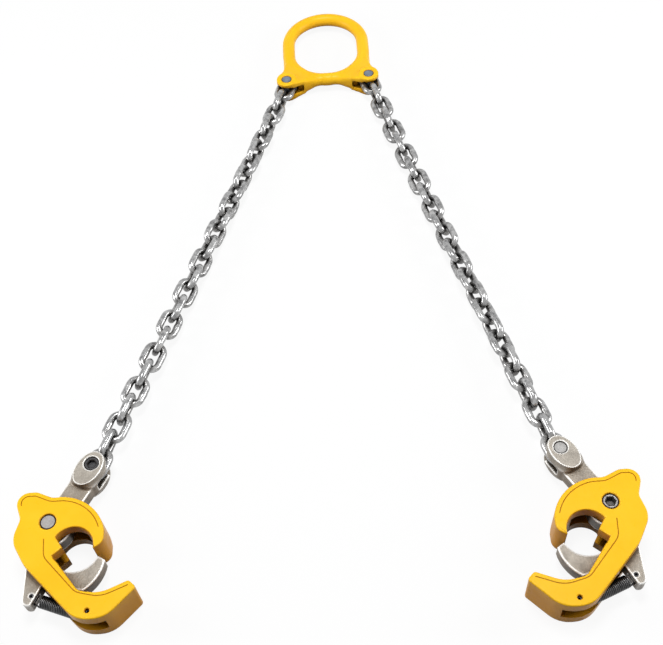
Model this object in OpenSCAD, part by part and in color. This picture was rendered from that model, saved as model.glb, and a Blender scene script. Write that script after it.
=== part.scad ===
// Two-leg chain lifter for drums: an oval master ring, two short-link chains and
// two self-gripping rim clamps. It lies flat, with the eye of the ring at the origin,
// X to the right, Y from the clamps to the ring and Z up.

/* [Chain] */
// Diameter of the link wire
wire_d = 6; // [5:0.25:7]
// Inner length of one link
pitch = 18.5; // [17:0.25:22]
// Inner width of one link
link_inner_w = 8.2; // [8:0.1:10]
// Links in each leg, an even number
links = 26; // [14:2:30]
// Play left in each joint between two links
link_play = 0.3; // [0.2:0.05:0.6]
// How far the middle of a leg sags below the line between its pins
leg_sag = 2.8; // [0:0.2:3]
// How far the left leg spreads from straight down
spread_left = 20.5; // [8:0.1:32]
// How far the right leg spreads from straight down
spread_right = 14.7; // [8:0.1:32]

/* [Master ring] */
// Diameter of the ring bar
bar_d = 13; // [11:0.5:16]
// Width of the eye
eye_w = 65.5; // [60:0.5:80]
// Height of the eye
eye_h = 82.5; // [82:0.5:110]
// Distance from the ring's centre line to a chain pin, sideways
lug_x = 42.2; // [40:0.2:46]
// Drop from the centre line of the lower bar to the chain pins
lug_drop = 7; // [4:0.5:10]
// Radius of the rounded ears
ear_r = 10.3; // [9.5:0.1:12]
// Thickness of one ear
ear_t = 6.8; // [5:0.2:9]

/* [Pins] */
// Width of the gap beside a link in its fork
fork_play = 1.1; // [0.6:0.1:2]
// Play of a chain pin inside its link
pin_play = 0.5; // [0.3:0.05:1]
// Diameter of the ring pin's head
ring_pin_head_d = 10.4; // [9:0.2:13]
// Height of the ring pin's head
ring_pin_head_h = 2.4; // [1.5:0.1:4]
// Diameter of the clevis pin's head
clevis_head_d = 10.8; // [9:0.2:13]
// Diameter of the clevis screw's head
screw_head_d = 12; // [10:0.2:14]
// Diameter of the pivot pin
pivot_d = 12.4; // [10:0.2:14]
// Width of the hexagon sockets across flats
socket_af = 6; // [4:0.5:7]
// Diameter of the roll pins that hold the spring
roll_pin_d = 3.2; // [2.4:0.2:4]
// Wall of a roll pin
roll_pin_wall = 0.7; // [0.4:0.1:1]
// Radial clearance of a pin in its bore
pin_fit = 0.04; // [0.02:0.01:0.08]
// How deep the pin ends lie below the faces
pin_recess = 0.8; // [0.4:0.1:1.5]

/* [Clamp] */
// Thickness of the jaw body
jaw_t = 32; // [28:0.5:36]
// Width of the slot between the two cheeks
slot_w = 13; // [11:0.5:16]
// Radius of the round opening
opening_r = 15.6; // [13:0.2:17]
// Wall along the back of the upper hook
hook_wall = 6.5; // [4:0.5:9]
// Clearance between the lever and the jaw
lever_gap = 0.4; // [0.3:0.05:0.8]
// How far the lever opens
open_angle = 16; // [8:1:17]
// Width of the groove line on the jaw faces
line_w = 0.8; // [0.5:0.1:1.5]
// Depth of the groove line
line_depth = 0.5; // [0.3:0.1:1]
// Distance of the groove line from the edge
line_inset = 3.6; // [2.5:0.1:5]

/* [Cam lever] */
// Distance from the pivot to the clevis pin
lever_reach = 57; // [52:0.5:66]
// Thickness of the lever plate
lever_t = 12; // [9:0.5:12.4]
// Width of the shank
shank_w = 20; // [16:0.5:22]
// Radius of the hub round the pivot
hub_r = 16; // [13:0.25:16.5]
// Outer radius of the cam face
cam_r = 31.5; // [29:0.1:32.5]
// Inner radius of the crescent
crescent_r = 19; // [17:0.25:21]
// Radius of the clevis head round its pin
head_r = 11; // [10.4:0.1:14]
// Length of the clevis head behind its pin
head_back = 20; // [18:0.5:23]
// Thickness of one clevis cheek
head_cheek = 8.2; // [6:0.2:10]

/* [Spring] */
// Outer diameter of the coil
coil_d = 10; // [8:0.2:11]
// Diameter of the spring wire
coil_wire = 1.4; // [1:0.1:1.8]

/* [Hidden] */
$fn = 48;
cut = 1;
run_links = 3;
runs = ceil(links / run_links);
sides = ["left", "right"];
run_names = [for (side = sides) for (i = [1 : runs]) str("chain_", side, "_", i)];
clamp_parts = [
    "jaw_body", "cam_lever", "pivot_pin", "clevis_pin", "clevis_screw",
    "spring", "lever_spring_pin", "jaw_spring_pin",
];
clamp_names = [for (part = clamp_parts) for (side = sides) str(part, "_", side)];

yellow = [0.99, 0.8, 0.16];
zinc = [0.72, 0.72, 0.7];
dark_steel = [0.3, 0.3, 0.31];

// Link sizes: centre line of the wire, crown by crown
link_r = (link_inner_w + wire_d) / 2;
link_half = (pitch + wire_d) / 2;
link_step = pitch - link_play;
roll_step = 90 + 90 / (links - 1);
chain_pin_d = link_inner_w - 2 * pin_play;
// A link hangs on its pin with the play of one link joint
end_offset = (pitch - chain_pin_d) / 2 - link_play;
leg_length = 2 * end_offset + (links - 1) * link_step;
fork_w = wire_d + 2 * fork_play;
fork_r = link_half - end_offset + wire_d / 2 + fork_play;
// Room for the standing link next to a fork
relief_at = end_offset + link_step - link_half + link_r;
relief_r = link_r + wire_d / 2 + fork_play;
lug_swing = 55;
clevis_swing = 70;

// Ring: the eye is a slot shape with half-round ends
ring_r = (eye_w + bar_d) / 2;
ring_half = (eye_h - eye_w) / 2;
lower_bar_y = -ring_half - ring_r;
lug_y = lower_bar_y - lug_drop;
lug_t = fork_w + 2 * ear_t;
lug_lean = 42;
lug_slit = 17;
bar_skin = 0.5;
floor_z = -lug_t / 2;
clamp_z = floor_z + jaw_t / 2;

// Lever and jaw outlines, measured from the pivot of the left clamp
lever_lean = 29.6;
lever_dir = [sin(lever_lean), cos(lever_lean)];
opening_at = [20.4, -21.4];
hook_at = [6.5, -17.5];
hook_r = 37.8;
crescent_at = [20.4, -18.4];
cam_at = [12.1, -26];
tail_pin_at = [-8.9, -54.2];
jaw_pin_at = [36, -72];
tail_edge = -15.9;
tail_end = -61.8;
head_t = fork_w + 2 * head_cheek;
screw_head_h = 4;
screw_d = chain_pin_d - 2.4;
screw_bite = 8;
pivot_l = jaw_t - 2 * pin_recess;
spring_dir = (jaw_pin_at - tail_pin_at) / norm(jaw_pin_at - tail_pin_at);
spring_l = norm(jaw_pin_at - tail_pin_at);
coil_r = (coil_d - coil_wire) / 2;
hook_loop_r = (roll_pin_d + coil_wire) / 2 + pin_play;
coil_start = hook_loop_r + coil_r - coil_wire / 2;
coil_turns = floor((spring_l - 2 * coil_start) / coil_wire);
jaw_roll_pin_l = jaw_t - 6;

function leg_dir(side) = side == "left"
    ? [-sin(spread_left), -cos(spread_left)]
    : [sin(spread_right), -cos(spread_right)];
function lug_at(side) = [side == "left" ? -lug_x : lug_x, lug_y];
function clevis_at(side) = lug_at(side) + leg_length * leg_dir(side);
function pivot_at(side) = clevis_at(side)
    - lever_reach * [side == "left" ? lever_dir[0] : -lever_dir[0], lever_dir[1]];
function leg_height(i) = let (t = (i - 1) / (links - 1)) clamp_z * t - 4 * leg_sag * t * (1 - t);
function leg_slope(i) = let (t = (i - 1) / (links - 1))
    atan((clamp_z - 4 * leg_sag * (1 - 2 * t)) / leg_length);

// Outline with arcs: each corner is [x, y, radius]
function flat(c) = [c[0], c[1]];
function unit(v) = v / norm(v);
function turn(from, to) = let (d = to - from) d > 180 ? d - 360 : d < -180 ? d + 360 : d;
function corner(a, b, c) = let (
    u = unit(flat(a) - flat(b)),
    v = unit(flat(c) - flat(b)),
    half = acos(u * v) / 2,
    centre = flat(b) + unit(u + v) * b[2] / sin(half),
    start = flat(b) + u * b[2] / tan(half) - centre,
    end = flat(b) + v * b[2] / tan(half) - centre,
    first = atan2(start[1], start[0]),
    sweep = turn(first, atan2(end[1], end[0])),
    steps = max(2, ceil(abs(sweep) / 9))
) [for (k = [0 : steps]) centre + b[2] * [cos(first + sweep * k / steps), sin(first + sweep * k / steps)]];
function edge_run(list, first, last) = let (n = len(list)) [
    for (i = [first : last])
        each list[i][2] == 0
            ? [flat(list[i])]
            : corner(list[(i + n - 1) % n], list[i], list[(i + 1) % n])
];
function rounded(list) = edge_run(list, 0, len(list) - 1);
// The same run of points moved sideways, for the line beside an edge
function side_step(points, d) = [
    for (i = [0 : len(points) - 1])
        let (along = unit(points[min(i + 1, len(points) - 1)] - points[max(i - 1, 0)]))
        points[i] + d * [along[1], -along[0]]
];

hook_arc = [for (a = [84 : -6 : 12]) [hook_at[0] + hook_r * cos(a), hook_at[1] + hook_r * sin(a), 0]];
hump_corners = [[-29.4, 25.7, 9], [-10.9, 25.7, 8], [1.2, 20.1, 10]];
arm_corners = [
    [43.8, -20, 8], [36.6, -24, 0.8], [opening_at[0], opening_at[1], 0], [6.2, -28, 1.2],
    [27.8, -56.2, 9], [44, -59.2, 25], [64.6, -50.6, 2.5], [70.6, -56.4, 2.5],
    [48.9, -78.5, 22], [27.9, -78.5, 22], [-14.5, -34.1, 30], [-26.3, -13.5, 18], [-21.6, 3.4, 8],
];
jaw_corners = concat(hump_corners, hook_arc, arm_corners);
tooth_corners = [[0, -10], [6.8, -12.6], [9.2, -15.9], [13.2, -22], [6.2, -28], [0, -26]];
arm_line = [[-1.5, -14, 0], [-0.2, -28.5, 12], [26.2, -57.6, 12], [44.8, -62.4, 22], [64.5, -54.6, 0]];
// Where the back of the lever's tail comes to when the clamp is open
tail_room = 2 * lever_gap - tail_edge;
function tail_open(along) = tail_room * [-cos(open_angle), sin(open_angle)]
    - along * [sin(open_angle), cos(open_angle)];
function slot_left(along) = lever_dir * along
    - (shank_w / 2 + lever_gap) * [lever_dir[1], -lever_dir[0]];
open_dir = [sin(lever_lean + open_angle), cos(lever_lean + open_angle)];
function slot_right(along) = open_dir * along
    + (shank_w / 2 + lever_gap) * [open_dir[1], -open_dir[0]];

module plate(t, points) {
    translate([0, 0, -t / 2]) linear_extrude(t) polygon(points);
}

module rod(d, l) {
    cylinder(d = d, h = l, center = true);
}

module hex_socket(depth) {
    translate([0, 0, -depth]) cylinder(d = socket_af / cos(30), h = depth + cut, $fn = 6);
}

// One welded link: two straight wires and two half-round crowns, lying flat along Y
module link() {
    straight = link_half - link_r;
    for (end = [0, 180])
        rotate([0, 0, end]) {
            translate([0, straight, 0])
                rotate_extrude(angle = 180) translate([link_r, 0]) circle(d = wire_d);
            translate([link_r, 0, 0]) rotate([90, 0, 0]) rod(wire_d, 2 * straight);
        }
}

module leg_frame(side) {
    translate([lug_at(side)[0], lug_at(side)[1], 0])
        rotate([0, 0, atan2(leg_dir(side)[1], leg_dir(side)[0]) - 90])
            children();
}

module chain_run(side, run) {
    color(zinc)
        leg_frame(side)
            for (i = [(run - 1) * run_links + 1 : min(run * run_links, links)])
                translate([0, end_offset + (i - 1) * link_step, leg_height(i)])
                    rotate([leg_slope(i), 0, 0])
                        rotate([0, roll_step * (i - 1), 0])
                            link();
}

// Room in a fork for the standing link, beyond the flat one on the pin
module fork_relief(swing) {
    rotate([0, 0, 90 - swing])
        rotate_extrude(angle = 2 * swing) translate([relief_at, 0]) circle(r = relief_r);
}

module ring_bar() {
    for (end = [0, 180])
        rotate([0, 0, end]) {
            translate([0, ring_half, 0])
                rotate_extrude(angle = 180) translate([ring_r, 0]) circle(d = bar_d);
            translate([ring_r, 0, 0]) rotate([90, 0, 0]) rod(bar_d, 2 * ring_half);
        }
}

// Forged corner: struts from the ring to an ear, with the web between them
module ring_corner() {
    strut_top = -ring_half + bar_d / 4;
    strut_l = strut_top - lug_y - ear_r / 2;
    strut_d = bar_d - 2 * bar_skin;
    arch_bite = 2;
    arch_x = lug_x - ear_r + arch_bite;
    arch_rise = lug_drop + arch_bite;
    boss_l = 2.2 * ear_r;
    boss_in = lug_x - 2.7 * ear_r;
    arch_r = (arch_x * arch_x + arch_rise * arch_rise) / (2 * arch_rise);
    arch_half = asin(arch_x / arch_r);
    translate([ring_r, strut_top - strut_l / 2, 0]) rotate([90, 0, 0]) rod(strut_d, strut_l);
    translate([0, lower_bar_y - arch_r, 0])
        rotate([0, 0, 90 - arch_half])
            rotate_extrude(angle = arch_half - 1) translate([arch_r, 0]) circle(d = strut_d);
    difference() {
        plate(strut_d - 2 * bar_skin, [
            [ring_r / 3, lower_bar_y], [ring_r, strut_top],
            [lug_x, lug_y], [arch_x, lug_y + arch_bite],
        ]);
        translate([0, -ring_half, 0]) rod(2 * ring_r, bar_d + cut);
    }
    translate([lug_x, lug_y, 0]) rod(2 * ear_r, lug_t);
    // Boss that thins from the ear to the bars
    difference() {
        intersection() {
            plate(lug_t, [
                [lug_x + ear_r - bar_skin, lug_y], [ring_r + bar_d / 2 - bar_skin, lug_y + 1.6 * ear_r],
                [ring_r, strut_top], [boss_in, lower_bar_y], [boss_in, lug_y + bar_skin],
                [lug_x - ear_r / 3, lug_y - ear_r + 2 * bar_skin],
            ]);
            translate([lug_x, lug_y, 0])
                rotate([0, 0, lug_lean]) rotate([0, 90, 0])
                    plate(4 * boss_l, [
                        [bar_skin - lug_t / 2, -boss_l], [bar_skin - lug_t / 2, 0],
                        [bar_skin - bar_d / 2, boss_l], [bar_skin - bar_d / 2, 2 * boss_l],
                        [bar_d / 2 - bar_skin, 2 * boss_l], [bar_d / 2 - bar_skin, boss_l],
                        [lug_t / 2 - bar_skin, 0], [lug_t / 2 - bar_skin, -boss_l],
                    ]);
        }
        translate([0, -ring_half, 0]) rod(2 * ring_r, lug_t + cut);
    }
}

module master_ring() {
    color(yellow)
        difference() {
            union() {
                ring_bar();
                for (flip = [0, 1]) mirror([flip, 0, 0]) ring_corner();
            }
            for (side = sides) {
                translate([lug_at(side)[0], lug_at(side)[1], 0]) {
                    rod(2 * fork_r, fork_w);
                    mirror([side == "left" ? 1 : 0, 0, 0])
                        translate([-lug_slit, -2 * lug_slit, -fork_w / 2])
                            cube([2 * lug_slit, 2 * lug_slit, fork_w]);
                    rod(chain_pin_d + 2 * pin_fit, lug_t + cut);
                    translate([0, 0, lug_t / 2 - ring_pin_head_h - pin_recess])
                        cylinder(d = ring_pin_head_d + 2 * pin_fit, h = lug_t);
                }
                leg_frame(side) fork_relief(lug_swing);
            }
        }
}

// Riveted pin: the head sits in a counterbore of the upper ear
module ring_pin(side) {
    color(zinc)
        translate([lug_at(side)[0], lug_at(side)[1], 0]) {
            translate([0, 0, -lug_t / 2 + pin_recess])
                cylinder(d = chain_pin_d, h = lug_t - 2 * pin_recess);
            translate([0, 0, lug_t / 2 - pin_recess - ring_pin_head_h])
                cylinder(d = ring_pin_head_d, h = ring_pin_head_h);
        }
}

// The right clamp is the left one turned over about its long axis
module clamp_frame(side) {
    translate([pivot_at(side)[0], pivot_at(side)[1], clamp_z])
        rotate([0, side == "left" ? 0 : 180, 0])
            children();
}

// Room for the lever between the cheeks: closed by the hump, the hook's back and the beak
module lever_slot() {
    past = 90;
    mouth_y = -30;
    back_y = -6;
    beak_x = 36;
    beak_y = -60;
    slot_end = [48, -66];
    hook_slot_h = 12;
    rod(2 * (hub_r + 2 * lever_gap), slot_w);
    plate(slot_w, [slot_left(0), slot_left(past / 2), slot_right(past * 2 / 3), slot_right(0)]);
    plate(slot_w, [
        tail_open(0), [opening_at[0], back_y], [opening_at[0], mouth_y], [beak_x, mouth_y],
        [beak_x, beak_y], slot_end, [slot_end[0], -past], tail_open(past),
    ]);
    intersection() {
        translate([hook_at[0], hook_at[1], 0]) rod(2 * (hook_r - hook_wall), slot_w);
        translate([opening_at[0] / 2, back_y - hook_slot_h / 4, -slot_w / 2])
            cube([hook_r, hook_slot_h, slot_w]);
    }
}

// Thin line cast into a face along part of the edge
module face_line(points, inset) {
    near = side_step(points, inset - line_w / 2);
    far = side_step(points, inset + line_w / 2);
    last = len(points) - 1;
    plate(2 * line_depth, concat(near, [for (i = [last : -1 : 0]) far[i]]));
}

module jaw_body(side) {
    edge = rounded(jaw_corners);
    hook_edge = edge_run(jaw_corners, 0, len(hump_corners) + len(hook_arc) - 2);
    arm_edge = edge_run(arm_line, 0, len(arm_line) - 1);
    color(yellow)
        clamp_frame(side)
            difference() {
                union() {
                    difference() {
                        plate(jaw_t, edge);
                        translate([opening_at[0], opening_at[1], 0]) rod(2 * opening_r, jaw_t + cut);
                    }
                    plate(jaw_t, tooth_corners);
                }
                lever_slot();
                rod(pivot_d + 2 * pin_fit, jaw_t + cut);
                translate([jaw_pin_at[0], jaw_pin_at[1], 0]) rod(roll_pin_d + 2 * pin_fit, jaw_t + cut);
                for (face = [-1, 1])
                    translate([0, 0, face * jaw_t / 2]) {
                        face_line(hook_edge, line_inset);
                        face_line(arm_edge, 0);
                    }
            }
}

// Forked head round the last link
module clevis_head() {
    head_flat = 0.6;
    head_flare = 0.4;
    back_r = head_r - 2.6;
    translate([0, lever_reach, 0])
        difference() {
            plate(head_t, rounded([
                [-head_r, head_r, head_r - head_flat], [head_r, head_r, head_r - head_flat],
                [head_r + head_flare, -head_back, back_r], [-head_r - head_flare, -head_back, back_r],
            ]));
            translate([-head_r - cut, -fork_r, -fork_w / 2])
                cube([2 * (head_r + cut), fork_r + head_r + cut, fork_w]);
            fork_relief(clevis_swing);
            rod(chain_pin_d + 2 * pin_fit, head_t + cut);
            translate([0, 0, head_t / 2 - screw_head_h - pin_recess])
                cylinder(d = screw_head_d + 2 * pin_fit, h = head_t);
            mirror([0, 0, 1])
                translate([0, 0, head_t / 2 - screw_head_h - pin_recess])
                    cylinder(d = clevis_head_d + 2 * pin_fit, h = head_t);
        }
}

module cam_lever(side) {
    shank_start = hub_r / 2;
    shank_end = lever_reach - fork_r - cut;
    slit_l = 10;
    color(zinc)
        clamp_frame(side)
            difference() {
                union() {
                    rod(2 * hub_r, lever_t);
                    rotate([0, 0, -lever_lean]) {
                        clevis_head();
                        plate(lever_t, [
                            [-shank_w / 2, shank_start], [shank_w / 2, shank_start],
                            [shank_w / 2, shank_end], [-shank_w / 2, shank_end],
                        ]);
                    }
                    difference() {
                        union() {
                            // Tail that carries the spring pin
                            plate(lever_t, rounded([
                                [tail_edge, 0, 0], [tail_edge, tail_end, 5], [-9.2, tail_end, 2],
                                [-1.5, -45.6, 0], [5, -30, 0], [5, 0, 0],
                            ]));
                            // Crescent with the cam face
                            intersection() {
                                translate([cam_at[0], cam_at[1], 0]) rod(2 * cam_r, lever_t);
                                plate(lever_t, [
                                    [tail_edge, -10], [tail_edge, -45.6], [-1.5, -45.6], [60, -59.9],
                                    [60, -39.9], [33, -22.7], [18, -12],
                                ]);
                            }
                        }
                        translate([crescent_at[0], crescent_at[1], 0]) rod(2 * crescent_r, lever_t + cut);
                    }
                }
                rod(pivot_d + 2 * pin_fit, lever_t + cut);
                translate([tail_pin_at[0], tail_pin_at[1], 0]) {
                    rod(roll_pin_d + 2 * pin_fit, lever_t + cut);
                    // Slit for the spring's hook
                    rotate([0, 0, atan2(spring_dir[1], spring_dir[0])])
                        translate([slit_l / 2 - hook_loop_r - coil_wire, 0, 0])
                            cube([slit_l, 2 * hook_loop_r + 2 * coil_wire, 2 * coil_wire], center = true);
                }
            }
}

module pivot_pin(side) {
    color(zinc)
        clamp_frame(side)
            difference() {
                rod(pivot_d, pivot_l);
                translate([0, 0, -pivot_l / 2]) mirror([0, 0, 1]) hex_socket(socket_af * 0.8);
            }
}

module clevis_pin(side) {
    color(zinc)
        clamp_frame(side)
            translate([lever_reach * lever_dir[0], lever_reach * lever_dir[1], -head_t / 2 + pin_recess])
                difference() {
                    union() {
                        cylinder(d = clevis_head_d, h = screw_head_h);
                        cylinder(d = chain_pin_d, h = head_t - screw_head_h - 2 * pin_recess);
                    }
                    translate([0, 0, head_t - screw_head_h - 2 * pin_recess - screw_bite])
                        cylinder(d = screw_d + 2 * pin_fit, h = head_t);
                }
}

module clevis_screw(side) {
    color(dark_steel)
        clamp_frame(side)
            translate([lever_reach * lever_dir[0], lever_reach * lever_dir[1], head_t / 2 - pin_recess])
                difference() {
                    translate([0, 0, -screw_head_h]) {
                        cylinder(d = screw_head_d, h = screw_head_h);
                        translate([0, 0, -screw_bite + pin_play])
                            cylinder(d = screw_d, h = screw_bite);
                    }
                    hex_socket(screw_head_h * 0.7);
                }
}

module roll_pin(length) {
    difference() {
        rod(roll_pin_d, length);
        rod(roll_pin_d - 2 * roll_pin_wall, length + cut);
    }
}

module lever_spring_pin(side) {
    color(dark_steel)
        clamp_frame(side)
            translate([tail_pin_at[0], tail_pin_at[1], 0]) roll_pin(lever_t);
}

module jaw_spring_pin(side) {
    color(dark_steel)
        clamp_frame(side)
            translate([jaw_pin_at[0], jaw_pin_at[1], 0]) roll_pin(jaw_roll_pin_l);
}

// Close-wound extension spring: the coil and a hooked eye round each roll pin
module spring(side) {
    body_l = coil_turns * coil_wire;
    body_at = (spring_l - body_l) / 2;
    round_steps = 6;
    scallops = [
        for (turn = [0 : coil_turns - 1]) for (k = [0 : round_steps - 1])
            let (a = 180 * k / round_steps)
            [coil_r + coil_wire / 2 * sin(a), coil_wire * (turn + (1 - cos(a)) / 2)]
    ];
    color(zinc)
        clamp_frame(side)
            translate([tail_pin_at[0], tail_pin_at[1], 0])
                rotate([0, 0, atan2(spring_dir[1], spring_dir[0])]) {
                    translate([body_at, 0, 0]) rotate([0, 90, 0])
                        rotate_extrude()
                            polygon(concat([[0, 0]], scallops, [[coil_r, body_l], [0, body_l]]));
                    for (end = [0, 1])
                        translate([end * spring_l, 0, 0])
                            rotate([0, 0, end * 180]) {
                                rotate([0, 0, 30])
                                    rotate_extrude(angle = 240)
                                        translate([hook_loop_r, 0]) circle(d = coil_wire, $fn = 16);
                                translate([0, -hook_loop_r, 0]) rotate([0, 90, 0])
                                    cylinder(d = coil_wire, h = body_at + coil_wire / 2, $fn = 16);
                            }
                }
}

master_ring();
for (side = sides) {
    ring_pin(side);
    for (i = [1 : runs])
        chain_run(side, i);
    jaw_body(side);
    cam_lever(side);
    pivot_pin(side);
    clevis_pin(side);
    clevis_screw(side);
    spring(side);
    lever_spring_pin(side);
    jaw_spring_pin(side);
}
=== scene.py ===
import math
import bmesh
import bpy
from mathutils import Matrix, Vector


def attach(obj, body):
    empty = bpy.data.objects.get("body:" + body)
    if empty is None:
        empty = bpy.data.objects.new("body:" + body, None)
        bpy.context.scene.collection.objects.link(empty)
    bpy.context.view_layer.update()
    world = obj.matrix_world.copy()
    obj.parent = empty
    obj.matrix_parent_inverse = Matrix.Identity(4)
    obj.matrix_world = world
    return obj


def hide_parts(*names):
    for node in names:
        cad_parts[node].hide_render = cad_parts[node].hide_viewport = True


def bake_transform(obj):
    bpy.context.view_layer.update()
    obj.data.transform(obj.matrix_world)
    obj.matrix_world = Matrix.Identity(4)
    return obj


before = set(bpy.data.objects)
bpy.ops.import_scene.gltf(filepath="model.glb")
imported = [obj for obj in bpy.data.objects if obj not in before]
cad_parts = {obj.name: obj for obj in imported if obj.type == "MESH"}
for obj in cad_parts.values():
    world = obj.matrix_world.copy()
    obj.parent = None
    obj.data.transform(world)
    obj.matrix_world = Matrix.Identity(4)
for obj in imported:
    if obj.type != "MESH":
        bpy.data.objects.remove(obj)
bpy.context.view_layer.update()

# Camera: the lifter lies flat and is seen from the clamps' end, from above.
# The lens is a moderate telephoto, turned a little about its own axis.
eye_place = Vector((0.0053, -0.9009, 0.7500))
look_turn, look_down, look_roll = (math.radians(a) for a in (1.71, 54.14, -5.46))
sensor_width, picture_width, focal_pixels = 36.0, 663, 1066.4
camera = bpy.data.objects.new("photo_camera", bpy.data.cameras.new("photo_camera"))
camera.data.sensor_width = sensor_width
camera.data.lens = sensor_width * focal_pixels / picture_width
camera.data.clip_start = 0.01
camera.matrix_world = (
    Matrix.Translation(eye_place)
    @ Matrix.Rotation(look_turn, 4, "Z")
    @ Matrix.Rotation(math.pi / 2 - look_down, 4, "X")
    @ Matrix.Rotation(look_roll, 4, "Z")
)
bpy.context.scene.collection.objects.link(camera)
bpy.context.scene.camera = camera

# Master ring: one steel forging with an oval eye and two forked ears, painted yellow.
# The bars run into the ears without an edge, and the paint softens what is left.
weld_within = 2e-6
gentle_edge = math.radians(40)
melt_share = 0.5
white = (1.0, 1.0, 1.0)
paint_dark, paint_light = (0.96, 0.535, 0.013), (1.0, 0.58, 0.02)
# Openness at which the enamel's painted shade takes each of its shades, and above which there is none.
enamel_shade_stops, enamel_unshaded_at = (0.15, 0.36, 0.55, 0.88), 0.98
ring_grain, ring_rounds, flow_rounds = 0.0009, 12, 40
flow_from, flow_to, flow_below = 0.004, 0.0235, -0.034


def piece_from(bm, name, material, sharp=gentle_edge):
    """One finished mesh object at the origin, smooth where its faces meet gently."""
    for face in bm.faces:
        face.smooth = True
    for edge in bm.edges:
        edge.smooth = len(edge.link_faces) == 2 and edge.calc_face_angle(0.0) < sharp
    mesh = bpy.data.meshes.new(name)
    bm.to_mesh(mesh)
    bm.free()
    mesh.materials.append(material)
    piece = bpy.data.objects.new(name, mesh)
    bpy.context.scene.collection.objects.link(piece)
    return piece


def node_mesh(node):
    """The node's own solid as a welded bmesh."""
    bm = bmesh.new()
    bm.from_mesh(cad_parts[node].data)
    bmesh.ops.remove_doubles(bm, verts=bm.verts, dist=weld_within)
    return bm


def soften(piece, grain, rounds):
    """Melts the edges of a forging into small fillets."""
    remesh = piece.modifiers.new("forged_skin", "REMESH")
    remesh.mode = "VOXEL"
    remesh.voxel_size = grain
    remesh.use_smooth_shade = True
    fillet = piece.modifiers.new("forged_fillet", "SMOOTH")
    fillet.factor = melt_share
    fillet.iterations = rounds
    bpy.context.view_layer.update()
    shaped = piece.evaluated_get(bpy.context.evaluated_depsgraph_get())
    mesh = bpy.data.meshes.new_from_object(shaped)
    piece.modifiers.clear()
    piece.data = mesh


def new_material(name, **constants):
    """A principled material with its nodes, links and shader; constants go on the shader's own sockets."""
    material = bpy.data.materials.new(name)
    material.use_nodes = True
    nodes, links = material.node_tree.nodes, material.node_tree.links
    shader = nodes["Principled BSDF"]
    for socket, value in constants.items():
        shader.inputs[socket.replace("_", " ")].default_value = value
    return material, nodes, links, shader


def noise(nodes, links, scale, detail=4.0, roughness=0.55):
    """A noise pattern on the piece's own coordinates; scale counts features in a metre."""
    place = nodes.new("ShaderNodeTexCoord")
    texture = nodes.new("ShaderNodeTexNoise")
    texture.inputs["Scale"].default_value = scale
    texture.inputs["Detail"].default_value = detail
    texture.inputs["Roughness"].default_value = roughness
    links.new(place.outputs["Object"], texture.inputs["Vector"])
    return texture.outputs["Fac"]


def ramp(nodes, links, source, stops):
    """Turns a pattern into colours or values, one stop for each (place, grey or colour)."""
    node = nodes.new("ShaderNodeValToRGB")
    while len(node.color_ramp.elements) < len(stops):
        node.color_ramp.elements.new(0.5)
    for element, (place, shade) in zip(node.color_ramp.elements, stops):
        element.position = place
        element.color = (*shade, 1.0) if isinstance(shade, tuple) else (shade, shade, shade, 1.0)
    links.new(source, node.inputs["Fac"])
    return node.outputs["Color"]


def mixed(nodes, links, a, b, amount, mode="MIX"):
    """A pattern and a pattern or plain colour, mixed by a third pattern or by a number."""
    node = nodes.new("ShaderNodeMix")
    node.data_type = "RGBA"
    node.blend_type = mode
    colours = [s for s in node.inputs if s.type == "RGBA"]
    for socket, value in zip(colours, (a, b)):
        if isinstance(value, tuple):
            socket.default_value = (*value, 1.0)
        else:
            links.new(value, socket)
    factor = [s for s in node.inputs if s.type == "VALUE"][0]
    if isinstance(amount, float):
        factor.default_value = amount
    else:
        links.new(amount, factor)
    return [s for s in node.outputs if s.type == "RGBA"][0]


def bump(nodes, links, shader, height, depth, strength):
    """Fine relief of the surface; depth is in metres."""
    node = nodes.new("ShaderNodeBump")
    node.inputs["Distance"].default_value = depth
    node.inputs["Strength"].default_value = strength
    links.new(height, node.inputs["Height"])
    links.new(node.outputs["Normal"], shader.inputs["Normal"])


def open_sky(nodes, reach):
    """White on open faces, dark in corners and gaps that are narrower than reach."""
    node = nodes.new("ShaderNodeAmbientOcclusion")
    node.samples = 6
    node.inputs["Distance"].default_value = reach
    return node.outputs["AO"]


def yellow_enamel(name, reach, shades):
    """Thick gloss enamel with a slight orange peel: even yellow, with painted shade that turns it browner on
    walls and dark in corners and gaps, and with its gloss turned down there too.

    The shades are the painted shade of a deep gap, a corner, a low wall and an open wall.
    """
    material, nodes, links, shader = new_material(name, Metallic=0.0)
    cloud = noise(nodes, links, scale=38.0, detail=3.0)
    patches = noise(nodes, links, scale=160.0)
    openness = open_sky(nodes, reach)
    body = ramp(nodes, links, cloud, [(0.3, paint_dark), (0.7, paint_light)])
    # Painted shade: the yellow darkens with how shut in each face is, deepest in gaps and slots, browner on
    # walls near the floor.
    painted_shade = ramp(nodes, links, openness, [*zip(enamel_shade_stops, shades), (enamel_unshaded_at, white)])
    colour = mixed(nodes, links, body, painted_shade, amount=0.9, mode="MULTIPLY")
    rough = ramp(nodes, links, patches, [(0.3, 0.26), (0.7, 0.40)])
    # Painted shade on the gloss as well: less specular where the face is shut in.
    gloss = ramp(nodes, links, openness, [(0.4, 0.035), (0.95, 0.12)])
    links.new(colour, shader.inputs["Base Color"])
    links.new(rough, shader.inputs["Roughness"])
    links.new(gloss, shader.inputs["Specular IOR Level"])
    peel = noise(nodes, links, scale=520.0, detail=2.0)
    bump(nodes, links, shader, peel, depth=0.0004, strength=0.22)
    return material


# Painted shade of the ring: near black in the slits of the ears, browner on the lower walls of the bars.
ring_paint = yellow_enamel("ring_enamel", reach=0.024, shades=(
    (0.05, 0.035, 0.034), (0.36, 0.26, 0.32), (0.78, 0.65, 0.72), (0.95, 0.89, 0.95)))
ring = piece_from(node_mesh("master_ring"), "ring_forging", ring_paint)
soften(ring, ring_grain, ring_rounds)
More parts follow.
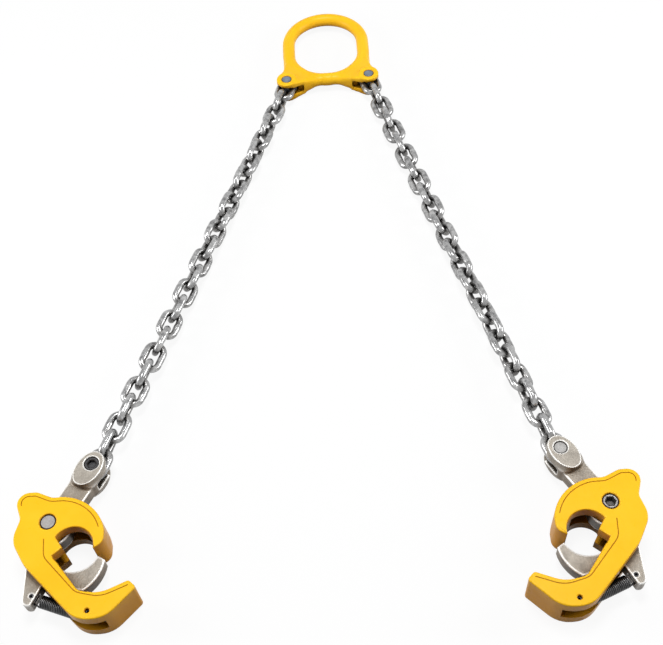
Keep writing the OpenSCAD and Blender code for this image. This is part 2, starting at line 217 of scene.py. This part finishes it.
# The lower bar flows into the bosses of the ears, short of their slits
bm = bmesh.new()
bm.from_mesh(ring.data)
flow = [v for v in bm.verts if flow_from < abs(v.co.x) < flow_to and v.co.y < flow_below]
for _ in range(flow_rounds):
    bmesh.ops.smooth_vert(
        bm, verts=flow, factor=melt_share, use_axis_x=True, use_axis_y=True, use_axis_z=True)
bm.to_mesh(ring.data)
bm.free()
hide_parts("master_ring")
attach(ring, "ring")

# Ring pins: plain zinc-plated steel pins, headed over in the counterbores of the ears.
# Each one carries the first link of a chain.
flat_below, crisp_above = math.radians(0.5), math.radians(50)
# The colour of the painted highlight on the broken edges of plated parts.
painted_edge_white = (0.92, 0.91, 0.88)
ring_pin_ease = 0.0007


def zinc_plate(
    name, light, dark, rough, mottle, depth, mirror, reach=0.012, tint=(0.42, 0.40, 0.38), painted_edge_light=0.0,
):
    """Plated steel: a grey with cloudy patches and fine specks; mirror is how metallic it shines.

    Painted shade darkens walls and corners to tint within reach, and a painted highlight of the given
    strength brightens the broken edges.
    """
    material, nodes, links, shader = new_material(name, Metallic=mirror)
    cloud = noise(nodes, links, scale=mottle, detail=5.0, roughness=0.6)
    specks = noise(nodes, links, scale=700.0, detail=2.0)
    body = ramp(nodes, links, cloud, [(0.32, dark), (0.68, light)])
    speckle = ramp(nodes, links, specks, [(0.35, 0.78), (0.65, 1.0)])
    body = mixed(nodes, links, body, speckle, amount=0.6, mode="MULTIPLY")
    # Painted shade: walls, corners and faces near the floor darken with how shut in they are.
    painted_shade = ramp(nodes, links, open_sky(nodes, reach), [
        (0.2, (0.03, 0.026, 0.022)), (0.55, tint), (0.9, white)])
    colour = mixed(nodes, links, body, painted_shade, amount=0.85, mode="MULTIPLY")
    # Painted highlight: convex broken edges are lightened to stand for the lamps' glint on their chamfers.
    if painted_edge_light:
        point = nodes.new("ShaderNodeNewGeometry").outputs["Pointiness"]
        edge = ramp(nodes, links, point, [(0.504, 0.0), (0.530, painted_edge_light)])
        colour = mixed(nodes, links, colour, painted_edge_white, amount=edge)
    links.new(colour, shader.inputs["Base Color"])
    links.new(ramp(nodes, links, cloud, [(0.3, rough + 0.14), (0.7, rough)]), shader.inputs["Roughness"])
    relief = noise(nodes, links, scale=mottle * 6, detail=3.0)
    bump(nodes, links, shader, relief, depth=depth, strength=0.3)
    return material


def dark_coat(name, scale, shades, roughs, **constants):
    """A dark skin whose colour and roughness follow one fine pattern."""
    material, nodes, links, shader = new_material(name, **constants)
    pattern = noise(nodes, links, scale=scale)
    for socket, pair in (("Base Color", shades), ("Roughness", roughs)):
        links.new(ramp(nodes, links, pattern, [*zip((0.3, 0.7), pair)]), shader.inputs[socket])
    return material, nodes, links, shader


def flat_faced(piece):
    """Keeps wide faces flat in the light, so that only the broken edges look round."""
    flats = piece.modifiers.new("true_flats", "WEIGHTED_NORMAL")
    flats.mode = "FACE_AREA"
    flats.weight = 100
    flats.keep_sharp = True
    return piece


def plain_faces(bm):
    """Joins the flat facets of a solid into whole faces."""
    bmesh.ops.dissolve_limit(bm, angle_limit=flat_below, verts=bm.verts, edges=bm.edges)


def break_edges(bm, edges, ease, segments):
    """Rounds edges by ease and gives the new faces."""
    return bmesh.ops.bevel(
        bm, geom=edges, offset=ease, offset_type="OFFSET", affect="EDGES", segments=segments, profile=0.5,
        material=-1, clamp_overlap=False,
    )["faces"]


def eased_copy(node, name, material, ease, gap=None):
    """A turned piece: the node's solid with its sharp edges broken, and painted shade on them for the dark
    gap round the piece if gap is given.
    """
    bm = node_mesh(node)
    plain_faces(bm)
    crisp = [e for e in bm.edges if e.is_convex and e.calc_face_angle(0.0) > crisp_above]
    broken = break_edges(bm, crisp, ease, segments=2)
    # Painted shade: the new edge faces take the second material, dark as the gap round the piece.
    if gap:
        for face in broken:
            face.material_index = 1
    piece = piece_from(bm, name, material)
    if gap:
        piece.data.materials.append(gap)
    return flat_faced(piece)


pin_zinc = zinc_plate(
    "pin_zinc", light=(0.25, 0.30, 0.37), dark=(0.15, 0.185, 0.24), rough=0.30, mottle=220.0,
    depth=0.0002, mirror=0.7)
# Painted shade: a near-black skin on the broken edges of pins and screws, standing for the shadow in the gap
# round them.
painted_gap_shade, *_ = dark_coat(
    "painted_gap_shade", 400.0, shades=((0.010, 0.008, 0.007), (0.03, 0.024, 0.02)), roughs=(0.75, 0.55),
    Metallic=0.0, Specular_IOR_Level=0.2)
for side in ("left", "right"):
    # The pin's broken edges carry the painted shade of the gap.
    pin = eased_copy(f"ring_pin_{side}", f"ring_rivet_{side}", pin_zinc, ring_pin_ease, painted_gap_shade)
    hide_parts(f"ring_pin_{side}")
    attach(pin, "ring")

# Chains: welded short-link chain, bright zinc over drawn wire, two legs of 26 links.
# Each link hangs in the crown of the one before it and is rolled a little more than a quarter turn.
wire, wire_facets, crown_steps, side_cuts = 0.006, 18, 18, 6
link_pitch, link_inner, link_play = 0.0185, 0.0082, 0.0003
link_count, run_links = 26, 3
weld_half, weld_swell = 0.0032, 0.09
side_least = 0.004
hang_pin = 0.0072
crown_r = (link_inner + wire) / 2
link_half = (link_pitch + wire) / 2
link_step = link_pitch - link_play
link_roll = math.radians(90 + 90 / (link_count - 1))
first_offset = (link_pitch - hang_pin) / 2 - link_play
leg_length = 2 * first_offset + (link_count - 1) * link_step
leg_sag, clamp_z = 0.0028, 0.0051
lug_pin = Vector((0.0422, -0.05475, 0.0))
leg_spread = {"left": math.radians(-20.5), "right": math.radians(14.7)}


def wire_circle(bm, facets, radius, place):
    """A wire's cross-section in XY, put in its place: its vertices and its edges."""
    verts = bmesh.ops.create_circle(bm, segments=facets, radius=radius, matrix=place)["verts"]
    return verts, list(dict.fromkeys(e for v in verts for e in v.link_edges))


def edges_in(geometry):
    return [g for g in geometry if isinstance(g, bmesh.types.BMEdge)]


def link_shape():
    """One link lying along Y: a wire circle spun round each crown and bridged along the sides."""
    bm = bmesh.new()
    straight = link_half - crown_r
    crowns = []
    for end in (1, -1):
        place = Matrix.Translation((crown_r * end, straight * end, 0)) @ Matrix.Rotation(math.pi / 2, 4, "X")
        verts, edges = wire_circle(bm, wire_facets, wire / 2, place)
        spun = bmesh.ops.spin(
            bm, geom=verts + edges, cent=(0, straight * end, 0), axis=(0, 0, 1), angle=math.pi,
            steps=crown_steps, use_merge=False, use_duplicate=False,
        )
        crowns.append((edges, edges_in(spun["geom_last"])))
    bmesh.ops.bridge_loops(bm, edges=crowns[0][1] + crowns[1][0])
    bmesh.ops.bridge_loops(bm, edges=crowns[1][1] + crowns[0][0])
    sides = []
    for edge in bm.edges:
        y, other_y = (v.co.y for v in edge.verts)
        if abs(y + other_y) < 1e-6 and abs(y - other_y) > side_least:
            sides.append(edge)
    bmesh.ops.subdivide_edges(bm, edges=sides, cuts=side_cuts, use_grid_fill=True)
    # The butt weld in the middle of one side stands a little proud
    for v in bm.verts:
        if v.co.x > 0 and abs(v.co.y) < weld_half:
            swell = 1 + weld_swell * math.cos(v.co.y / weld_half * math.pi / 2)
            v.co.x = crown_r + (v.co.x - crown_r) * swell
            v.co.z *= swell
    bmesh.ops.recalc_face_normals(bm, faces=bm.faces)
    return bm


link_mesh = bpy.data.meshes.new("link_pattern")
pattern = link_shape()
pattern.to_mesh(link_mesh)
pattern.free()
# Painted shade darkens the links where they cross one another and on their undersides near the floor.
chain_zinc = zinc_plate(
    "chain_zinc", light=(0.58, 0.58, 0.578), dark=(0.17, 0.17, 0.172), rough=0.12, mottle=200.0,
    depth=0.0003, mirror=0.75)
for side, spread in leg_spread.items():
    leg = Matrix.Translation((lug_pin.x * (-1 if side == "left" else 1), lug_pin.y, 0))
    leg = leg @ Matrix.Rotation(math.pi + spread, 4, "Z")
    for run in range(math.ceil(link_count / run_links)):
        bm = bmesh.new()
        for i in range(run * run_links, min((run + 1) * run_links, link_count)):
            t = i / (link_count - 1)
            rise = clamp_z * t - 4 * leg_sag * t * (1 - t)
            slope = math.atan((clamp_z - 4 * leg_sag * (1 - 2 * t)) / leg_length)
            count = len(bm.verts)
            bm.from_mesh(link_mesh)
            bm.verts.ensure_lookup_table()
            place = leg @ Matrix.Translation((0, first_offset + i * link_step, rise))
            place = place @ Matrix.Rotation(slope, 4, "X") @ Matrix.Rotation(link_roll * i, 4, "Y")
            bmesh.ops.transform(bm, matrix=place, verts=bm.verts[count:])
        name = f"chain_{side}_{run + 1}"
        links_piece = piece_from(bm, f"links_{side}_{run + 1}", chain_zinc)
        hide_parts(name)
        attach(links_piece, name)
bpy.data.meshes.remove(link_mesh)

# Cam levers: drop forgings with a forked head round the last link, a hub on the pivot,
# a crescent that bites on the drum's rim and a tail for the spring; zinc-plated, dull.
lever_grain, lever_rounds = 0.0006, 5
lever_reach, lever_lean = 0.057, math.radians(29.6)
head_r, head_back, head_back_r, head_half = 0.011, 0.020, 0.0084, 0.0123
oval_half, shank_half, oval_margin = 0.0102, 0.0065, 0.001
pin_clear = (0.0066, 0.0090)
clevis_place, lever_line = {}, {}
for side, spread in leg_spread.items():
    out = -1 if side == "left" else 1
    clevis_place[side] = Vector((lug_pin.x * out, lug_pin.y, clamp_z))
    clevis_place[side] += leg_length * Vector((math.sin(spread), -math.cos(spread), 0))
    lever_line[side] = Vector((-out * math.sin(lever_lean), math.cos(lever_lean), 0))


def eased_step(low, high, value):
    """Rises from 0 to 1 between low and high, without a kink."""
    t = min(max((value - low) / (high - low), 0.0), 1.0)
    return t * t * (3 - 2 * t)


def oval_head(piece, side):
    """Narrows the cheeks of the forked head to a long oval at their faces, clear of the pin's counterbore."""
    along = lever_line[side]
    across = Vector((along.y, -along.x, 0))
    middle, reach = (head_r - head_back) / 2, (head_r + head_back) / 2
    for v in piece.data.vertices:
        from_pin = v.co - clevis_place[side]
        y, x, height = from_pin.dot(along), from_pin.dot(across), abs(from_pin.z)
        if height < shank_half or y < -head_back - oval_margin or y > head_r:
            continue
        full = math.sqrt(max(head_r ** 2 - y ** 2, 0.0)) if y > 0 else head_r
        past = y + head_back - head_back_r
        if past < 0:
            full = head_r - head_back_r + math.sqrt(max(head_back_r ** 2 - past ** 2, 0.0))
        oval = oval_half * math.sqrt(max(1 - ((y - middle) / reach) ** 2, 0.0))
        much = eased_step(shank_half, head_half - oval_margin, height)
        much *= eased_step(*pin_clear, math.hypot(x, y))
        v.co -= across * x * much * max(0.0, 1 - oval / max(full, 1e-4))


# The levers take painted shade deep into their walls and a painted highlight on their broken edges.
lever_zinc = zinc_plate(
    "lever_zinc", light=(0.40, 0.364, 0.312), dark=(0.278, 0.25, 0.212), rough=0.36, mottle=110.0,
    depth=0.0006, mirror=0.3, reach=0.04, tint=(0.42, 0.32, 0.205), painted_edge_light=0.85)
for side in ("left", "right"):
    lever = piece_from(node_mesh(f"cam_lever_{side}"), f"cam_forging_{side}", lever_zinc)
    soften(lever, lever_grain, lever_rounds)
    oval_head(lever, side)
    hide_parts(f"cam_lever_{side}")
    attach(lever, f"lever_{side}")

# Clevis pins and screws: a headed pin through the last link, closed by a black socket-head screw.
# Both heads lie in counterbores of the forked head.
clevis_ease = 0.0008
black_steel, nodes, links, shader = dark_coat(
    "black_steel", 300.0, shades=((0.03, 0.03, 0.032), (0.075, 0.075, 0.078)), roughs=(0.5, 0.32),
    Metallic=1.0)
bump(nodes, links, shader, noise(nodes, links, scale=1200.0, detail=2.0), depth=0.0001, strength=0.3)
clevis_steel = zinc_plate(
    "clevis_steel", light=(0.38, 0.372, 0.36), dark=(0.28, 0.274, 0.265), rough=0.38, mottle=240.0,
    depth=0.0002, mirror=0.4)
for side in ("left", "right"):
    for node, name, material, slot in (
        ("clevis_pin", "clevis_pin_turned", clevis_steel, "zinc_plate"),
        ("clevis_screw", "clevis_screw_turned", black_steel, "dark_steel"),
    ):
        # The broken edges of pin and screw carry the painted shade of the gap.
        turned = eased_copy(f"{node}_{side}", f"{name}_{side}", material, clevis_ease, painted_gap_shade)
        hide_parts(f"{node}_{side}")
        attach(turned, f"lever_{side}")

# Jaw bodies: iron castings of two cheeks joined by the hump, the back of the hook and the beak.
# They are painted like the ring, with a fine line cast into each face beside the edge.
jaw_half = 0.016
rim_above, rim_ease, wall_least = math.radians(60), 0.0011, 0.002
# Painted shade of the jaws, reaching far: dark in the slots and the mouth, brown on the front walls near the
# floor.
jaw_paint = yellow_enamel("jaw_enamel", reach=0.055, shades=(
    (0.09, 0.062, 0.09), (0.68, 0.50, 0.66), (0.54, 0.395, 0.70), (0.55, 0.39, 0.80)))


def at_rim(edge):
    """Whether an edge lies between a cheek's face and a wall that is deeper than the cast line."""
    if len(edge.link_faces) != 2 or edge.calc_face_angle(0.0) < rim_above:
        return False
    if any(abs(abs(v.co.z - clamp_z) - jaw_half) >= 1e-5 for v in edge.verts):
        return False
    walls = [[v.co.z for v in f.verts] for f in edge.link_faces if abs(f.normal.z) < 0.5]
    return any(max(heights) - min(heights) > wall_least for heights in walls)


for side in ("left", "right"):
    bm = node_mesh(f"jaw_body_{side}")
    plain_faces(bm)
    break_edges(bm, [e for e in bm.edges if at_rim(e)], rim_ease, segments=3)
    jaw = flat_faced(piece_from(bm, f"jaw_casting_{side}", jaw_paint))
    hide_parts(f"jaw_body_{side}")
    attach(jaw, f"jaw_{side}")

# Pivot pins: turned steel pins across both cheeks and the lever's hub.
# One end has a hexagon socket, the other is plain; both lie below the painted faces.
pivot_ease = 0.0010
pivot_steel = zinc_plate(
    "pivot_steel", light=(0.38, 0.36, 0.35), dark=(0.28, 0.265, 0.258), rough=0.36, mottle=260.0,
    depth=0.0002, mirror=0.4)
for side in ("left", "right"):
    # The pin's broken edges carry the painted shade of the gap.
    pivot = eased_copy(f"pivot_pin_{side}", f"pivot_turned_{side}", pivot_steel, pivot_ease, painted_gap_shade)
    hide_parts(f"pivot_pin_{side}")
    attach(pivot, f"jaw_{side}")

# Roll pins: spring steel, black, one across the lever's tail and one across the jaw's lower hook.
# Each is pressed into its holes and carries one end of the spring.
roll_ease = 0.0002
for side in ("left", "right"):
    for node, body in (("lever_spring_pin", "lever"), ("jaw_spring_pin", "jaw")):
        rolled = eased_copy(f"{node}_{side}", f"{node}_rolled_{side}", black_steel, roll_ease)
        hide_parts(f"{node}_{side}")
        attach(rolled, f"{body}_{side}")

# Springs: close-wound tension springs of dark wire, hooked over the two roll pins.
# Each pulls its jaw shut, and is placed once between the two pins where the lever and the jaw rest.
tail_pin, jaw_pin = Vector((-0.0089, -0.0542, 0)), Vector((0.036, -0.072, 0))
spring_wire, spring_facets = 0.0013, 10
coil_r, coil_turns, coil_pitch, coil_steps = 0.0043, 25, 0.0014, 18
hook_r, hook_steps = 0.0028, 16
hook_tip, hook_sweep = math.radians(30), math.radians(240)
spring_sharp = math.radians(60)
pull = jaw_pin - tail_pin
spring_length = pull.length
coil_start = (spring_length - coil_turns * coil_pitch) / 2


def cap(bm, edges):
    """Closes the end of a wire."""
    bmesh.ops.contextual_create(bm, geom=edges)


def spring_shape():
    """The spring along X from one pin's centre to the other's: a coil and two hooked ends."""
    bm = bmesh.new()
    verts, edges = wire_circle(
        bm, spring_facets, spring_wire / 2, Matrix.Translation((coil_start, -coil_r, 0)))
    spun = bmesh.ops.spin(
        bm, geom=verts + edges, cent=(0, 0, 0), axis=(1, 0, 0), dvec=(coil_pitch / coil_steps, 0, 0),
        angle=2 * math.pi * coil_turns, steps=coil_steps * coil_turns, use_merge=False, use_duplicate=False,
    )
    cap(bm, edges)
    cap(bm, edges_in(spun["geom_last"]))
    for end in (0, 1):
        first = len(bm.verts)
        tip = Matrix.Translation((hook_r * math.cos(hook_tip), hook_r * math.sin(hook_tip), 0))
        tip = tip @ Matrix.Rotation(hook_tip, 4, "Z") @ Matrix.Rotation(math.pi / 2, 4, "X")
        verts, edges = wire_circle(bm, spring_facets, spring_wire / 2, tip)
        spun = bmesh.ops.spin(
            bm, geom=verts + edges, cent=(0, 0, 0), axis=(0, 0, 1), angle=hook_sweep, steps=hook_steps,
            use_merge=False, use_duplicate=False,
        )
        cap(bm, edges)
        grown = bmesh.ops.extrude_edge_only(bm, edges=edges_in(spun["geom_last"]))["geom"]
        into_coil = Vector((coil_start + coil_pitch, hook_r - coil_r, 0))
        bmesh.ops.translate(bm, vec=into_coil, verts=[g for g in grown if isinstance(g, bmesh.types.BMVert)])
        cap(bm, [e for e in edges_in(grown) if all(v in grown for v in e.verts)])
        if end:
            bm.verts.ensure_lookup_table()
            turned = Matrix.Translation((spring_length, 0, 0)) @ Matrix.Rotation(math.pi, 4, "Z")
            bmesh.ops.transform(bm, matrix=turned, verts=bm.verts[first:])
    bmesh.ops.recalc_face_normals(bm, faces=bm.faces)
    return bm


spring_zinc = zinc_plate(
    "spring_zinc", light=(0.12, 0.12, 0.122), dark=(0.045, 0.045, 0.047), rough=0.24, mottle=300.0,
    depth=0.0001, mirror=0.8)
for side in ("left", "right"):
    pivot_place = clevis_place[side] - lever_reach * lever_line[side]
    clamp = Matrix.Translation(pivot_place) @ Matrix.Rotation(0 if side == "left" else math.pi, 4, "Y")
    along = clamp @ Matrix.Translation(tail_pin) @ Matrix.Rotation(math.atan2(pull.y, pull.x), 4, "Z")
    bm = spring_shape()
    bmesh.ops.transform(bm, matrix=along, verts=bm.verts)
    spring = piece_from(bm, f"coil_spring_{side}", spring_zinc, spring_sharp)
    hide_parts(f"spring_{side}")
    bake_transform(spring)

# Floor, lamps and world: a plain white table under soft boxes.
# Camera, glossy and transmitted rays see white, and the floor keeps a soft shadow.
floor_middle, floor_size = (0, -0.3, -0.0109), 6.0
table_grey, table_glow, glow_share = 0.50, 1.085, 0.84
room_level, white_level = 0.08, 1.0
lamps_aim = Vector((-0.02, -0.30, 0.0))
lamps = (
    ("over_box", (0.0, -0.16, 1.6), 0.45, 17.0),
    ("left_box", (-1.2, -0.3, 0.5), 0.6, 10.0),
    ("right_box", (1.2, -0.3, 0.5), 0.6, 10.0),
)


def seen_rays(nodes, links):
    """1 for rays that the camera, a gloss or a clear piece sends out, 0 for light."""
    path = nodes.new("ShaderNodeLightPath")
    total = path.outputs["Is Camera Ray"]
    for ray in ("Is Glossy Ray", "Is Transmission Ray"):
        most = nodes.new("ShaderNodeMath")
        most.operation = "MAXIMUM"
        links.new(total, most.inputs[0])
        links.new(path.outputs[ray], most.inputs[1])
        total = most.outputs["Value"]
    return total


def shown_over(nodes, links, amount, under, over, output):
    """Shows one shader over another by amount and sends the mix to a new output node."""
    mix = nodes.new("ShaderNodeMixShader")
    links.new(amount, mix.inputs["Fac"])
    links.new(under, mix.inputs[1])
    links.new(over, mix.inputs[2])
    links.new(mix.outputs["Shader"], nodes.new(output).inputs["Surface"])


floor_paint = bpy.data.materials.new("table_white")
floor_paint.use_nodes = True
nodes, links = floor_paint.node_tree.nodes, floor_paint.node_tree.links
nodes.clear()
table = nodes.new("ShaderNodeBsdfDiffuse")
table.inputs["Color"].default_value = (table_grey, table_grey, table_grey, 1.0)
glow = nodes.new("ShaderNodeEmission")
glow.inputs["Color"].default_value = (*white, 1.0)
glow.inputs["Strength"].default_value = table_glow
veil = nodes.new("ShaderNodeMath")
veil.operation = "MULTIPLY"
veil.inputs[1].default_value = glow_share
links.new(seen_rays(nodes, links), veil.inputs[0])
shown_over(nodes, links, veil.outputs["Value"], table.outputs["BSDF"], glow.outputs["Emission"],
           "ShaderNodeOutputMaterial")
bm = bmesh.new()
bmesh.ops.create_grid(
    bm, x_segments=1, y_segments=1, size=floor_size, matrix=Matrix.Translation(floor_middle))
table_top = piece_from(bm, "table_top", floor_paint)

world = bpy.data.worlds.new("studio")
world.use_nodes = True
nodes, links = world.node_tree.nodes, world.node_tree.links
nodes.clear()
skies = []
for level in (room_level, white_level):
    sky = nodes.new("ShaderNodeBackground")
    sky.inputs["Color"].default_value = (*white, 1.0)
    sky.inputs["Strength"].default_value = level
    skies.append(sky.outputs["Background"])
shown_over(nodes, links, seen_rays(nodes, links), *skies, "ShaderNodeOutputWorld")
bpy.context.scene.world = world

for name, place, size, power in lamps:
    lamp = bpy.data.objects.new(name, bpy.data.lights.new(name, "AREA"))
    lamp.data.size = size
    lamp.data.energy = power
    lamp.location = place
    lamp.rotation_euler = (lamps_aim - Vector(place)).to_track_quat("-Z", "Y").to_euler()
    bpy.context.scene.collection.objects.link(lamp)
bpy.context.scene.view_settings.view_transform = "Standard"
